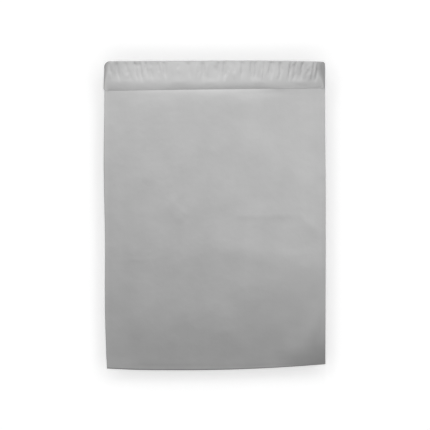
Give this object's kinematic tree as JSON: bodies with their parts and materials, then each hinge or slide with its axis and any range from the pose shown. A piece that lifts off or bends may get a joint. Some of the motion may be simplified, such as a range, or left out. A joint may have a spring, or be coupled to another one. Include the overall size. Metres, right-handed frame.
{
  "type": "poly mailer",
  "caption": "Flat plastic mailing bag, sealed: one folded and side-welded film whose top flap is turned down over the front and held by a strip of adhesive",
  "frame": {"origin": "on the table, under the centre of the bag as it lies on its back", "axes": "+X to the right of the front, +Y up the front towards the flap, +Z out of the front"},
  "size_m": [0.251, 0.35, 0.0071],
  "materials": {
    "film": "grey co-extruded polyethylene film, satin",
    "adhesive": "hot-melt pressure-sensitive adhesive, pale and tacky"
  },
  "bodies": {
    "root": {"mailer_bag": "film", "glue_strip": "adhesive"}
  },
  "joints": []
}
